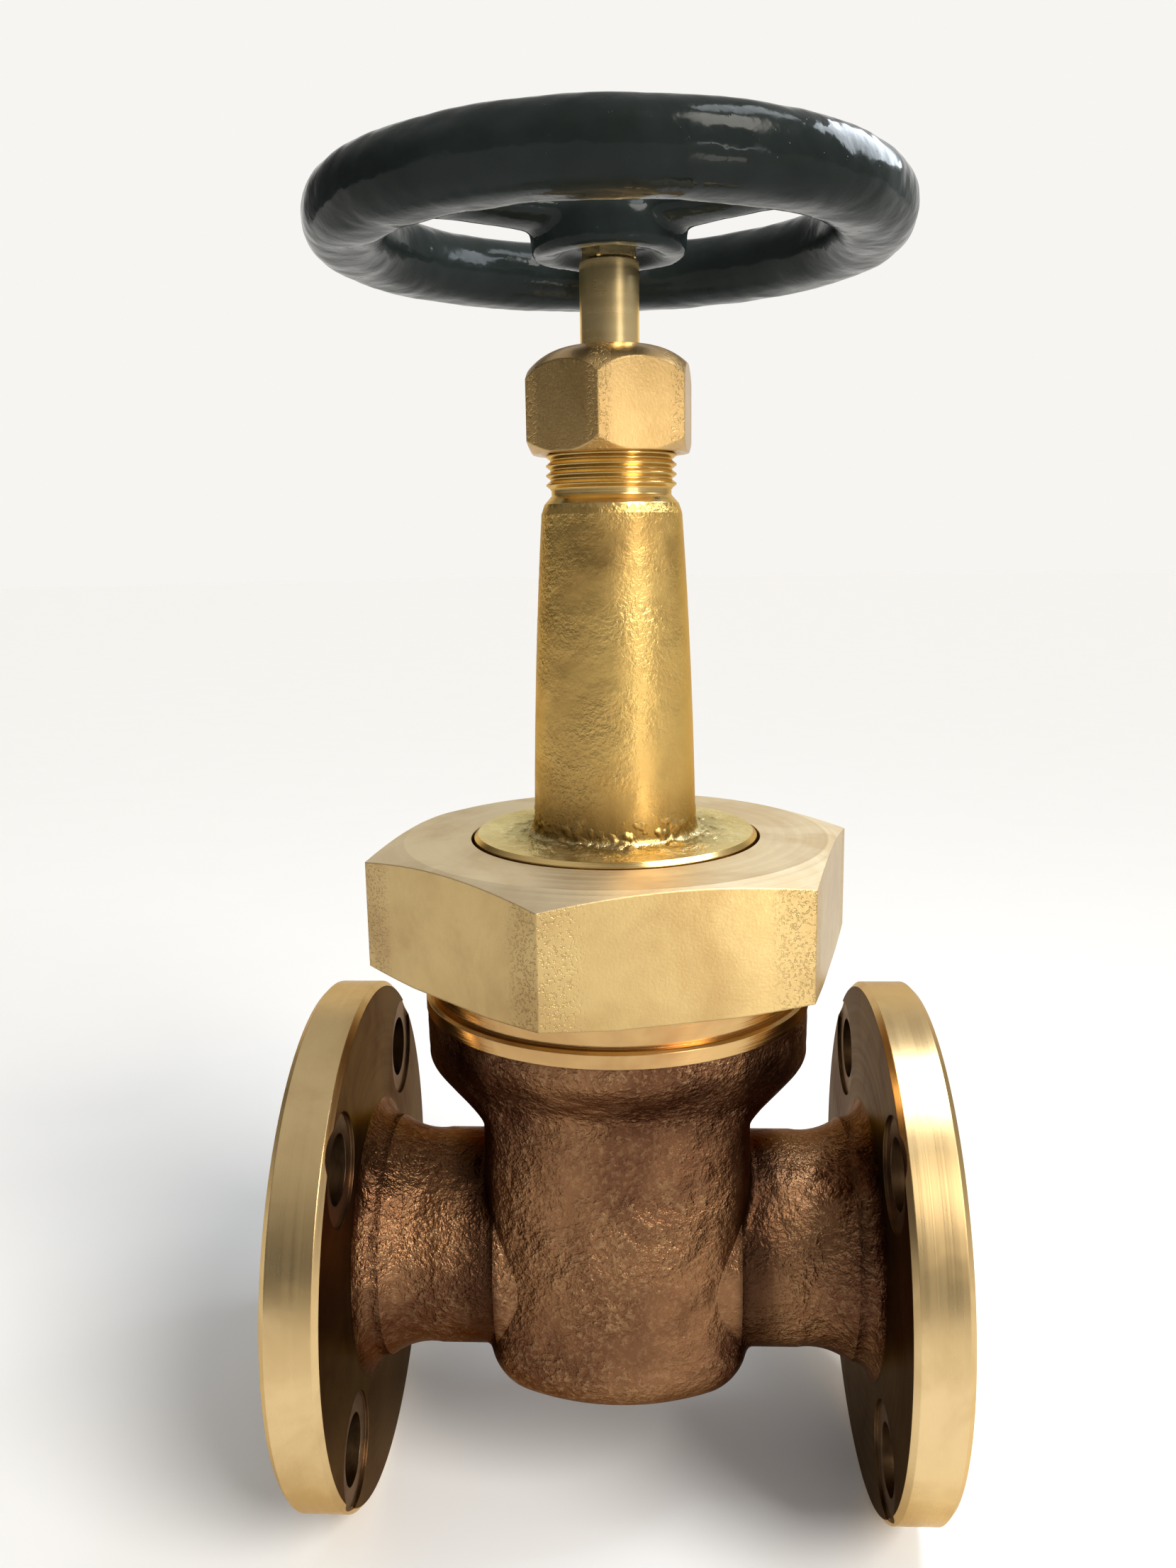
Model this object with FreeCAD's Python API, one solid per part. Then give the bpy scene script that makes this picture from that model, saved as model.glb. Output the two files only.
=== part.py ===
import FreeCAD, Part
import math
import os

# A bronze gate valve with flanged ends, a screwed union bonnet and an inside-screw rising stem.
# Millimetres. The pipe runs along X and the stem along +Z. The origin is the centre of the inlet
# flange's face. Every piece is drawn about the stem axis (x = 0 there, z = 0 on the pipe's axis)
# and is moved along X by STEM_X when it is exported.

# ---- the pipe run ---------------------------------------------------------------------------
BORE_R = 20.0
FACE_TO_FACE = 140.0
STEM_X = FACE_TO_FACE / 2
FLANGE_R = 60.0
FLANGE_T = 12.0
FLANGE_CHAMFER = 1.2
BOLT_CIRCLE_R = 47.5
BOLT_HOLE_R = 7.5
BOLT_COUNT = 4
SPOT_FACE_R = 12.0
SPOT_FACE_DEPTH = 0.8
NECK_R = 24.6
NECK_R_AT_FLANGE = 27.4
NECK_FILLET = 5.0
NECK_TAPER = 12.0
NECK_SWELL = 0.7
NECK_BLEND = 2.0

# ---- the barrel that holds the wedge --------------------------------------------------------
BARREL_HALF_X = 29.8
BARREL_HALF_Y = 31.6
BARREL_CORNER = 13.0
BARREL_CROWN = 50.0
BARREL_BOTTOM = -29.2
BARREL_BOTTOM_ROUND = 12.5
WALL = 4.4
CHAMBER_BOTTOM_ROUND = 8.0
FLARE_BOTTOM = 36.0
FLARE_SIDE_TOP = 49.0
FLARE_FRONT_BOTTOM = 42.0
FLARE_TOP = 58.0
FLARE_SECTIONS = 12
CHAMBER_R = 35.0
CHAMBER_SQUARE_TOP = 46.0
CHAMBER_ROUND_BOTTOM = 53.0
CHAMBER_LEDGE = 0.5
COLLAR_CAST_R = 43.5
COLLAR_R = 43.8
COLLAR_BOTTOM = 60.8
COLLAR_TOP = 64.4
COLLAR_CHAMFER = 0.6
UNION_THREAD_R = 42.0
UNION_THREAD_BOTTOM = 73.0
UNION_THREAD_PITCH = 2.0
BODY_TOP = 84.0
ALMOST_ROUND = (COLLAR_CAST_R, COLLAR_CAST_R, COLLAR_CAST_R - 0.5, COLLAR_CAST_R + 0.3)

# ---- seats and wedge ------------------------------------------------------------------------
SEAT_ANGLE = 5.0
WEDGE_HALF_T = 11.0
SEAT_GAP = 0.15
SEAT_RING_R = 24.6
SEAT_SHANK_R = 22.5
SEAT_SHANK_END = 26.0
SEAT_BOSS_R = 26.5
SEAT_BOSS_FACE = 16.5
WEDGE_R = 24.4
EAR_HALF_Y = 24.8
EAR_BOTTOM = -12.0
EAR_TOP = 24.0
GUIDE_RIB_HALF_X = 2.5
GUIDE_RIB_TIP_Y = 23.4
GUIDE_RIB_BOTTOM = -18.0
GROOVE_HALF_X = 3.0
GROOVE_FLOOR_Y = 22.8
WEDGE_HEAD_HALF_Y = 15.0
WEDGE_TOP = 37.0

# ---- stem -----------------------------------------------------------------------------------
LIFT = 45.0
STEM_LEAD = 3.0
STEM_R = 6.25
STEM_HEAD_R = 9.0
STEM_HEAD_BOTTOM = 28.0
STEM_HEAD_TOP = 33.0
STEM_NECK_R = 6.0
STEM_THREAD_R = 8.0
STEM_THREAD_ROOT_R = 6.3
STEM_THREAD_BOTTOM = 41.0
STEM_THREAD_TOP = 113.0
STEM_SHOULDER = 221.2
STEM_SQUARE = 8.8
STEM_SQUARE_CORNER_R = 5.95
STEM_SQUARE_TURN = 25.0
STEM_SQUARE_TOP = 229.5
STEM_END_R = 4.0
STEM_END_PITCH = 1.25
STEM_TOP = 243.0
T_SLOT_PLAY = 0.3

# ---- bonnet ---------------------------------------------------------------------------------
GASKET_T = 1.2
GASKET_IN_R = CHAMBER_R + 0.5
GASKET_OUT_R = UNION_THREAD_R - 1.7
SPIGOT_BOTTOM = 80.0
SPIGOT_R = CHAMBER_R - 0.2
BONNET_FLANGE_R = 41.3
BONNET_FLANGE_BOTTOM = BODY_TOP + GASKET_T
BONNET_FLANGE_TOP = 92.0
BOSS_R = 31.8
BOSS_TOP = 99.9
BOSS_CHAMFER = 0.9
TUBE_FILLET_R = 1.8
TUBE_BOTTOM_R = 18.1
TUBE_MIDDLE_R = 16.9
TUBE_TOP_R = 15.2
TUBE_MIDDLE_Z = 140.0
TUBE_TOP = 169.5
TUBE_SHOULDER_R = 14.5
TUBE_SHOULDER_Z = 171.6
UNDERCUT_R = 12.9
UNDERCUT_BOTTOM = 173.4
PACKING_THREAD_R = 14.0
PACKING_THREAD_PITCH = 2.0
PACKING_THREAD_BOTTOM = 174.6
BONNET_TOP = 196.0
UNDERSIDE_R = 28.0
UNDERSIDE_TOP = 88.0
UNDERSIDE_CHAMFER = 3.0
STEM_BORE_R = STEM_THREAD_R + 0.15
STEM_BORE_TOP = 107.0
TUBE_CAVITY_R = 9.5
BACKSEAT_BORE_R = 6.6
BACKSEAT_PLAY = 0.8
STUFFING_R = 10.5
STUFFING_BOTTOM = 163.0

# ---- union nut ------------------------------------------------------------------------------
UNION_FLATS = 97.2
UNION_CORNER_ANGLE = -103.85
UNION_BOTTOM = 71.6
UNION_TOP = 98.7
UNION_TOP_R = 47.4
UNION_CORNER_DROP = 2.5
UNION_BOTTOM_R = 50.0
UNION_BOTTOM_RISE = 1.2
UNION_HOLE_R = 32.5
UNION_BORE_R = UNION_THREAD_R + 0.1

# ---- packing, gland and packing nut ---------------------------------------------------------
PACKING_IN_R = STEM_R + 0.1
PACKING_OUT_R = STUFFING_R - 0.1
PACKING_WASHER_T = 2.0
PACKING_RING_T = 4.0
PACKING_RINGS = 4
GLAND_IN_R = STEM_R + 0.15
GLAND_OUT_R = STUFFING_R - 0.1
GLAND_FLANGE_R = 12.6
GLAND_FLANGE_BOTTOM = BONNET_TOP + 0.4
GLAND_TOP = 199.6
PACKING_NUT_FLATS = 33.0
PACKING_NUT_CORNER_ANGLE = -96.0
PACKING_NUT_BOTTOM = 182.0
PACKING_NUT_CORNER_TOP = 196.8
PACKING_NUT_DOME_R = 14.6
PACKING_NUT_DOME_Z = 201.6
PACKING_NUT_TOP = 203.8
PACKING_NUT_TOP_R = 8.4
PACKING_NUT_CHAMFER = 2.4
PACKING_NUT_BORE_R = PACKING_THREAD_R + 0.1
PACKING_NUT_BORE_TOP = 197.6
PACKING_NUT_HOLE_R = STEM_R + 0.35
GLAND_SEAT_R = GLAND_FLANGE_R + 0.2

# ---- handwheel ------------------------------------------------------------------------------
WHEEL_R = 62.4
WHEEL_MIDDLE_Z = 227.9
RIM_WIDTH = 17.0
RIM_HEIGHT = 15.2
RIM_CORNER = 7.0
HUB_R = 16.2
HUB_BOTTOM = 221.4
HUB_DISH = 2.4
HUB_DISH_R = 11.5
HUB_SHOULDER = 228.5
HUB_RING_R = 13.5
HUB_RING_TOP = 232.4
HUB_RECESS_R = 9.8
HUB_TOP = 230.3
SPOKES = 3
FIRST_SPOKE_ANGLE = 90.0
# an arm's distance from the stem, half width, half height and height, from the hub to the rim
SPOKE_STATIONS = ((11.0, 9.0, 3.2, 228.8), (18.0, 7.0, 3.2, 228.8), (34.0, 6.2, 3.2, 229.3),
                  (50.0, 9.0, 4.2, 229.0))
SQUARE_HOLE = STEM_SQUARE + 0.1
WASHER_R = 8.5
WASHER_T = 1.6
SPRING_WASHER_R = 7.2
SPRING_WASHER_T = 2.0
SPRING_WASHER_GAP = 1.2
END_NUT_FLATS = 13.0
END_NUT_T = 6.5
END_NUT_ANGLE = 20.0
END_HOLE_R = STEM_END_R + 0.1

ORIGIN = FreeCAD.Vector(0, 0, 0)
X_AXIS = FreeCAD.Vector(1, 0, 0)
Y_AXIS = FreeCAD.Vector(0, 1, 0)
Z_AXIS = FreeCAD.Vector(0, 0, 1)
FAR = 200.0
PAST = 1.0
CLOSE = 0.5
FIT = 0.1
CHAMFER = 0.8
SMALL_CHAMFER = 0.5
THREAD_DEPTH_PER_PITCH = 0.45


# ---- drawing helpers ------------------------------------------------------------------------
def in_plane(point):
    """A corner (a, b) of an outline in the XZ plane."""
    return FreeCAD.Vector(point[0], 0, point[1])


def outline(corners):
    """A closed wire in the XZ plane. A corner written as a pair of points is an arc: through
    the first, to the second."""
    edges = []
    start = in_plane(corners[0])
    here = start
    for corner in corners[1:] + [corners[0]]:
        if isinstance(corner[0], tuple):
            middle = in_plane(corner[0])
            there = in_plane(corner[1])
            edges.append(Part.Arc(here, middle, there).toShape())
        else:
            there = in_plane(corner)
            if here.distanceToPoint(there) < 1e-6:
                continue
            edges.append(Part.LineSegment(here, there).toShape())
        here = there
    return Part.Wire(edges)


def turned(corners, axis=Z_AXIS):
    """The solid turned from an outline: (r, z) corners about Z, or (x, r) corners about X."""
    return Part.Face(outline(corners)).revolve(ORIGIN, axis, 360)


def tube(inner_r, outer_r, bottom, top):
    return turned([(inner_r, bottom), (outer_r, bottom), (outer_r, top), (inner_r, top)])


def rod(radius, bottom, top):
    return Part.makeCylinder(radius, top - bottom, FreeCAD.Vector(0, 0, bottom))


def rod_along_x(radius, start, end):
    return Part.makeCylinder(radius, end - start, FreeCAD.Vector(start, 0, 0), X_AXIS)


def block(half_x, half_y, bottom, top):
    corner = FreeCAD.Vector(-half_x, -half_y, bottom)
    return Part.makeBox(2 * half_x, 2 * half_y, top - bottom, corner)


def arc_point(centre_a, centre_b, radius, degrees):
    angle = math.radians(degrees)
    return (centre_a + radius * math.cos(angle), centre_b + radius * math.sin(angle))


def ridges(crest_r, pitch, bottom, top):
    """The (r, z) corners of a screw thread drawn as parallel ridges, from bottom to top."""
    root_r = crest_r - THREAD_DEPTH_PER_PITCH * pitch
    corners = []
    count = int((top - bottom) / pitch)
    for turn in range(count):
        z = bottom + turn * pitch
        corners.append((root_r, z))
        corners.append((root_r, z + 0.1 * pitch))
        corners.append((crest_r, z + 0.45 * pitch))
        corners.append((crest_r, z + 0.6 * pitch))
        corners.append((root_r, z + 0.95 * pitch))
    corners.append((root_r, top))
    return corners


def hexagon(across_flats, bottom, top, corner_angle):
    """A six-sided bar with one corner at corner_angle degrees from +X."""
    corner_r = across_flats / 2 / math.cos(math.radians(30))
    points = []
    for corner in range(7):
        angle = math.radians(corner_angle + 60 * corner)
        points.append(FreeCAD.Vector(corner_r * math.cos(angle), corner_r * math.sin(angle), bottom))
    return Part.Face(Part.makePolygon(points)).extrude(Z_AXIS * (top - bottom))


def eased(z, low, high, start, end):
    """Goes smoothly from start to end while z goes from low to high."""
    along = min(max((z - low) / (high - low), 0), 1)
    return start + (end - start) * along * along * (3 - 2 * along)


def arch_joint(half_x, half_y, corner, crown):
    """Where a section's round corner ends: its angle and the half length of the flat side."""
    turn = math.acos((half_x - corner) / (crown - corner))
    return turn, half_y - crown + (crown - corner) * math.sin(turn)


def oval_section(half_x, half_y, corner, crown, z):
    """A level closed wire with flat sides, round corners and a front and back arched to the
    radius crown, all meeting smoothly."""
    turn, side_y = arch_joint(half_x, half_y, corner, crown)
    right = [arc_point(half_x - corner, side_y, corner, math.degrees(turn * share))
             for share in (0, 0.5, 1)]
    left = [(-x, y) for x, y in reversed(right)]
    edges = []
    for side in (1, -1):
        corners = [[FreeCAD.Vector(side * x, side * y, z) for x, y in arc] for arc in (right, left)]
        top_of_crown = FreeCAD.Vector(0, side * half_y, z)
        below = FreeCAD.Vector(corners[1][2].x, -corners[1][2].y, z)
        edges.append(Part.Arc(*corners[0]).toShape())
        edges.append(Part.Arc(corners[0][2], top_of_crown, corners[1][0]).toShape())
        edges.append(Part.Arc(*corners[1]).toShape())
        edges.append(Part.LineSegment(corners[1][2], below).toShape())
    return Part.Wire(edges)


def oval_block(shape, bottom, top, bottom_round):
    """An upright block of an oval section with a rounded lower edge."""
    section = Part.Face(oval_section(*shape, bottom))
    solid = section.extrude(Z_AXIS * (top - bottom))
    lower_edges = [e for e in solid.Edges if e.BoundBox.ZMax < bottom + CLOSE]
    return solid.makeFillet(bottom_round, lower_edges)


def both_ends(solid):
    """A solid on the inlet side and its mirror image on the outlet side."""
    return solid.fuse(solid.mirror(ORIGIN, X_AXIS))


def export(node, solid):
    placed = solid.copy()
    placed.translate(FreeCAD.Vector(STEM_X, 0, 0))
    placed.exportStep("parts/%s.step" % node)
    valid = placed.isValid() and len(placed.Solids) >= 1
    print("%-24s solids %d  volume %9.1f  %s" % (node, len(placed.Solids), placed.Volume, valid))


# ---- the body -------------------------------------------------------------------------------
def pipe_end():
    """The inlet flange with its neck, solid, reaching to the middle of the barrel."""
    face = -FACE_TO_FACE / 2
    back = face + FLANGE_T
    fillet_x = back + NECK_FILLET
    fillet_r = NECK_R_AT_FLANGE + NECK_FILLET
    return turned([
        (face, 0),
        (face, FLANGE_R - FLANGE_CHAMFER),
        (face + FLANGE_CHAMFER, FLANGE_R),
        (back - FLANGE_CHAMFER, FLANGE_R),
        (back, FLANGE_R - FLANGE_CHAMFER),
        (back, fillet_r),
        (arc_point(fillet_x, fillet_r, NECK_FILLET, 225), (fillet_x, NECK_R_AT_FLANGE)),
        ((fillet_x + NECK_TAPER / 3, NECK_R + NECK_SWELL), (fillet_x + NECK_TAPER, NECK_R)),
        (0, NECK_R),
        (0, 0),
    ], X_AXIS)


def barrel_shape(inward):
    """The barrel's half widths, corner radius and crown, taken inward by a wall."""
    full = (BARREL_HALF_X, BARREL_HALF_Y, BARREL_CORNER, BARREL_CROWN)
    return tuple(size - inward for size in full)


def flare_shape(z):
    """The flare's section at height z: its sides swell out lower down than its front and back."""
    barrel = barrel_shape(0)
    barrel_turn, barrel_side_y = arch_joint(*barrel)
    round_turn, round_side_y = arch_joint(*ALMOST_ROUND)
    turn = eased(z, FLARE_BOTTOM, FLARE_TOP, barrel_turn, round_turn)
    side_y = eased(z, FLARE_BOTTOM, FLARE_SIDE_TOP, barrel_side_y, round_side_y)
    half_x = eased(z, FLARE_BOTTOM, FLARE_SIDE_TOP, barrel[0], ALMOST_ROUND[0])
    half_y = eased(z, FLARE_FRONT_BOTTOM, FLARE_TOP, barrel[1], ALMOST_ROUND[1])
    reach = (side_y + half_x - half_y) / (math.cos(turn) + math.sin(turn) - 1)
    corner = half_x - reach * math.cos(turn)
    return half_x, half_y, corner, corner + reach


def flare():
    """The barrel's upper part, swelling smoothly from its oval to a round below the collar."""
    step = (FLARE_TOP - FLARE_BOTTOM) / (FLARE_SECTIONS - 1)
    heights = [FLARE_BOTTOM + step * index for index in range(FLARE_SECTIONS)]
    sections = [oval_section(*flare_shape(z), z) for z in heights]
    neck = Part.Face(sections[-1]).extrude(Z_AXIS * (COLLAR_BOTTOM - FLARE_TOP))
    return Part.makeLoft(sections, True, False).fuse(neck)


def collar():
    """The turned top of the body: a band, a smaller band and the thread for the union nut."""
    thread = ridges(UNION_THREAD_R, UNION_THREAD_PITCH, UNION_THREAD_BOTTOM, BODY_TOP)
    return turned([
        (0, COLLAR_BOTTOM),
        (COLLAR_R, COLLAR_BOTTOM),
        (COLLAR_R, COLLAR_TOP - COLLAR_CHAMFER),
        (COLLAR_R - COLLAR_CHAMFER, COLLAR_TOP),
        (UNION_THREAD_R, COLLAR_TOP),
        (UNION_THREAD_R, UNION_THREAD_BOTTOM),
    ] + thread + [(0, BODY_TOP)])


def chamber():
    """The space inside the barrel: square below, round above."""
    shape = barrel_shape(WALL)
    round_top = [size - COLLAR_CAST_R + CHAMBER_R - CHAMBER_LEDGE for size in ALMOST_ROUND]
    lower = oval_block(shape, BARREL_BOTTOM + WALL, CHAMBER_SQUARE_TOP, CHAMBER_BOTTOM_ROUND)
    blend = Part.makeLoft([
        oval_section(*shape, CHAMBER_SQUARE_TOP),
        oval_section(*round_top, CHAMBER_ROUND_BOTTOM),
    ], True, True)
    return lower.fuse(blend).fuse(rod(CHAMBER_R, CHAMBER_ROUND_BOTTOM, BODY_TOP + PAST))


def guide_ribs():
    wall_y = BARREL_HALF_Y - WALL / 2
    rib = Part.makeBox(2 * GUIDE_RIB_HALF_X, wall_y - GUIDE_RIB_TIP_Y,
                       CHAMBER_SQUARE_TOP - GUIDE_RIB_BOTTOM,
                       FreeCAD.Vector(-GUIDE_RIB_HALF_X, GUIDE_RIB_TIP_Y, GUIDE_RIB_BOTTOM))
    return rib.fuse(rib.mirror(ORIGIN, Y_AXIS))


def bolt_tools():
    """The bolt holes of both flanges and the spot faces behind them."""
    tools = []
    face = -FACE_TO_FACE / 2
    back = face + FLANGE_T
    hole = rod_along_x(BOLT_HOLE_R, face - PAST, back)
    spot = rod_along_x(SPOT_FACE_R, back - SPOT_FACE_DEPTH, back + PAST)
    stepped = hole.fuse(spot)
    for index in range(BOLT_COUNT):
        y, z = arc_point(0, 0, BOLT_CIRCLE_R, 45 + 90 * index)
        tool = stepped.copy()
        tool.translate(FreeCAD.Vector(0, y, z))
        tools += [tool, tool.mirror(ORIGIN, X_AXIS)]
    return tools


def blend_necks(solid):
    """Rounds the corner where each neck meets the barrel."""
    seams = []
    for edge in solid.Edges:
        box = edge.BoundBox
        near = min(abs(box.XMin), abs(box.XMax))
        far = max(abs(box.XMin), abs(box.XMax))
        goes_round = max(box.YLength, box.ZLength) > 1
        on_neck = all(abs(math.hypot(v.Y, v.Z) - NECK_R) < CLOSE for v in edge.Vertexes)
        at_barrel = near > BARREL_HALF_X - BARREL_CORNER and far < BARREL_HALF_X + CLOSE
        if on_neck and goes_round and at_barrel:
            seams.append(edge)
    return solid.makeFillet(NECK_BLEND, seams)


def body():
    outside = oval_block(barrel_shape(0), BARREL_BOTTOM, FLARE_BOTTOM, BARREL_BOTTOM_ROUND)
    outside = outside.fuse(flare()).fuse(collar()).fuse(both_ends(pipe_end()))
    outside = blend_necks(outside.removeSplitter())
    boss = rod_along_x(SEAT_BOSS_R, -BARREL_HALF_X + WALL / 2, -SEAT_BOSS_FACE)
    shell = outside.cut(chamber()).fuse([both_ends(boss), guide_ribs()])
    shank = rod_along_x(SEAT_SHANK_R, -SEAT_SHANK_END, 0)
    shell = shell.cut([rod_along_x(BORE_R, -FAR, FAR), both_ends(shank)])
    return shell.cut(bolt_tools()).removeSplitter()


# ---- seats, wedge and stem ------------------------------------------------------------------
def wedge_half_t(z):
    return WEDGE_HALF_T + z * math.tan(math.radians(SEAT_ANGLE))


def wedge_space(gap, bottom, top, half_y):
    """The tapered space between the two seat planes, wider at the top, with a gap each side."""
    low = wedge_half_t(bottom) + gap
    high = wedge_half_t(top) + gap
    points = [(-low, bottom), (low, bottom), (high, top), (-high, top)]
    face = Part.Face(outline(points))
    face.translate(FreeCAD.Vector(0, -half_y, 0))
    return face.extrude(Y_AXIS * (2 * half_y))


def seat_ring(side):
    """A seat ring screwed into the body: a shank, a collar and a slanted face to the wedge."""
    ring = turned([
        (-SEAT_SHANK_END, BORE_R),
        (-SEAT_SHANK_END, SEAT_SHANK_R - FIT),
        (-SEAT_BOSS_FACE, SEAT_SHANK_R - FIT),
        (-SEAT_BOSS_FACE, SEAT_RING_R),
        (0, SEAT_RING_R),
        (0, BORE_R),
    ], X_AXIS)
    ring = ring.cut(wedge_space(SEAT_GAP, -FAR / 2, FAR / 2, FAR / 2))
    return ring if side < 0 else ring.mirror(ORIGIN, X_AXIS)


def wedge():
    disc = rod_along_x(WEDGE_R, -FAR / 4, FAR / 4)
    ears = block(FAR / 4, EAR_HALF_Y, EAR_BOTTOM, EAR_TOP)
    head = block(FAR / 4, WEDGE_HEAD_HALF_Y, 0, WEDGE_TOP)
    solid = disc.fuse([ears, head]).common(wedge_space(0, -WEDGE_R - PAST, WEDGE_TOP, EAR_HALF_Y))
    groove = Part.makeBox(2 * GROOVE_HALF_X, FAR, FAR,
                          FreeCAD.Vector(-GROOVE_HALF_X, GROOVE_FLOOR_Y, -FAR / 2))
    slot_neck = block(FAR / 4, STEM_NECK_R + T_SLOT_PLAY, STEM_HEAD_TOP, WEDGE_TOP + PAST)
    slot_head = block(FAR / 4, STEM_HEAD_R + T_SLOT_PLAY,
                      STEM_HEAD_BOTTOM - T_SLOT_PLAY, STEM_HEAD_TOP + T_SLOT_PLAY)
    return solid.cut([groove, groove.mirror(ORIGIN, Y_AXIS), slot_neck, slot_head])


def square_bar(across_flats, bottom, top):
    """The square that joins the stem and the handwheel, at its own angle about the stem."""
    bar = block(across_flats / 2, across_flats / 2, bottom, top)
    bar.rotate(ORIGIN, Z_AXIS, STEM_SQUARE_TURN)
    return bar


def stem():
    """The rising stem: a round head below, a coarse thread, a plain rod, a square and a stud."""
    thread = []
    turns = int((STEM_THREAD_TOP - STEM_THREAD_BOTTOM) / STEM_LEAD)
    for turn in range(turns):
        z = STEM_THREAD_BOTTOM + turn * STEM_LEAD
        thread.append((STEM_THREAD_ROOT_R, z + 0.20 * STEM_LEAD))
        thread.append((STEM_THREAD_R, z + 0.35 * STEM_LEAD))
        thread.append((STEM_THREAD_R, z + 0.65 * STEM_LEAD))
        thread.append((STEM_THREAD_ROOT_R, z + 0.80 * STEM_LEAD))
    turned_part = turned([
        (0, STEM_HEAD_BOTTOM),
        (STEM_HEAD_R - CHAMFER, STEM_HEAD_BOTTOM),
        (STEM_HEAD_R, STEM_HEAD_BOTTOM + CHAMFER),
        (STEM_HEAD_R, STEM_HEAD_TOP - SMALL_CHAMFER),
        (STEM_HEAD_R - SMALL_CHAMFER, STEM_HEAD_TOP),
        (STEM_NECK_R, STEM_HEAD_TOP),
        (STEM_NECK_R, STEM_THREAD_BOTTOM - CHAMFER),
        (STEM_THREAD_ROOT_R, STEM_THREAD_BOTTOM),
    ] + thread + [
        (STEM_R, STEM_THREAD_TOP),
        (STEM_R, STEM_SHOULDER - SMALL_CHAMFER),
        (STEM_R - SMALL_CHAMFER, STEM_SHOULDER),
        (0, STEM_SHOULDER),
    ])
    square = square_bar(STEM_SQUARE, STEM_SHOULDER, STEM_SQUARE_TOP)
    square = square.common(rod(STEM_SQUARE_CORNER_R, STEM_SHOULDER, STEM_SQUARE_TOP))
    stud = turned([(0, STEM_SQUARE_TOP)]
                  + ridges(STEM_END_R, STEM_END_PITCH, STEM_SQUARE_TOP, STEM_TOP)
                  + [(0, STEM_TOP)])
    return turned_part.fuse([square, stud])


# ---- bonnet and union nut -------------------------------------------------------------------
def bonnet():
    """The bonnet: a spigot and flange held by the union nut, and a long tube for the stem."""
    fillet_z = BOSS_TOP + TUBE_FILLET_R
    fillet_r = TUBE_BOTTOM_R + TUBE_FILLET_R
    backseat_z = STEM_THREAD_TOP + LIFT + BACKSEAT_PLAY
    slope = TUBE_CAVITY_R - BACKSEAT_BORE_R
    outside = turned([
        (0, SPIGOT_BOTTOM),
        (SPIGOT_R - SMALL_CHAMFER, SPIGOT_BOTTOM),
        (SPIGOT_R, SPIGOT_BOTTOM + SMALL_CHAMFER),
        (SPIGOT_R, BONNET_FLANGE_BOTTOM),
        (BONNET_FLANGE_R, BONNET_FLANGE_BOTTOM),
        (BONNET_FLANGE_R, BONNET_FLANGE_TOP),
        (BOSS_R, BONNET_FLANGE_TOP),
        (BOSS_R, BOSS_TOP - BOSS_CHAMFER),
        (BOSS_R - BOSS_CHAMFER, BOSS_TOP),
        (fillet_r, BOSS_TOP),
        (arc_point(fillet_r, fillet_z, TUBE_FILLET_R, 225), (TUBE_BOTTOM_R, fillet_z)),
        ((TUBE_MIDDLE_R, TUBE_MIDDLE_Z), (TUBE_TOP_R, TUBE_TOP)),
        (TUBE_SHOULDER_R, TUBE_SHOULDER_Z),
        (UNDERCUT_R, UNDERCUT_BOTTOM),
        (UNDERCUT_R, PACKING_THREAD_BOTTOM),
    ] + ridges(PACKING_THREAD_R, PACKING_THREAD_PITCH, PACKING_THREAD_BOTTOM, BONNET_TOP)
        + [(0, BONNET_TOP)])
    inside = turned([
        (0, SPIGOT_BOTTOM - PAST),
        (UNDERSIDE_R, SPIGOT_BOTTOM - PAST),
        (UNDERSIDE_R, UNDERSIDE_TOP - UNDERSIDE_CHAMFER),
        (UNDERSIDE_R - UNDERSIDE_CHAMFER, UNDERSIDE_TOP),
        (STEM_BORE_R + CHAMFER, UNDERSIDE_TOP),
        (STEM_BORE_R, UNDERSIDE_TOP + CHAMFER),
        (STEM_BORE_R, STEM_BORE_TOP),
        (TUBE_CAVITY_R, STEM_BORE_TOP + CHAMFER),
        (TUBE_CAVITY_R, backseat_z - slope),
        (BACKSEAT_BORE_R, backseat_z),
        (BACKSEAT_BORE_R, STUFFING_BOTTOM),
        (STUFFING_R, STUFFING_BOTTOM),
        (STUFFING_R, BONNET_TOP + PAST),
        (0, BONNET_TOP + PAST),
    ])
    return outside.cut(inside)


def union_nut():
    """The big ring nut that clamps the bonnet's flange to the body."""
    corner_r = UNION_FLATS / 2 / math.cos(math.radians(30))
    envelope = turned([
        (0, UNION_BOTTOM),
        (UNION_BOTTOM_R, UNION_BOTTOM),
        (corner_r, UNION_BOTTOM + UNION_BOTTOM_RISE),
        (corner_r + PAST, UNION_BOTTOM + UNION_BOTTOM_RISE),
        (corner_r + PAST, UNION_TOP - UNION_CORNER_DROP),
        (corner_r, UNION_TOP - UNION_CORNER_DROP),
        (UNION_TOP_R, UNION_TOP),
        (0, UNION_TOP),
    ])
    hole = turned([
        (0, UNION_BOTTOM - PAST),
        (UNION_BORE_R + CHAMFER, UNION_BOTTOM - PAST),
        (UNION_BORE_R + CHAMFER, UNION_BOTTOM),
        (UNION_BORE_R, UNION_BOTTOM + CHAMFER),
        (UNION_BORE_R, BONNET_FLANGE_TOP),
        (UNION_HOLE_R, BONNET_FLANGE_TOP),
        (UNION_HOLE_R, UNION_TOP + PAST),
        (0, UNION_TOP + PAST),
    ])
    bar = hexagon(UNION_FLATS, UNION_BOTTOM, UNION_TOP, UNION_CORNER_ANGLE)
    return bar.common(envelope).cut(hole)


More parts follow.
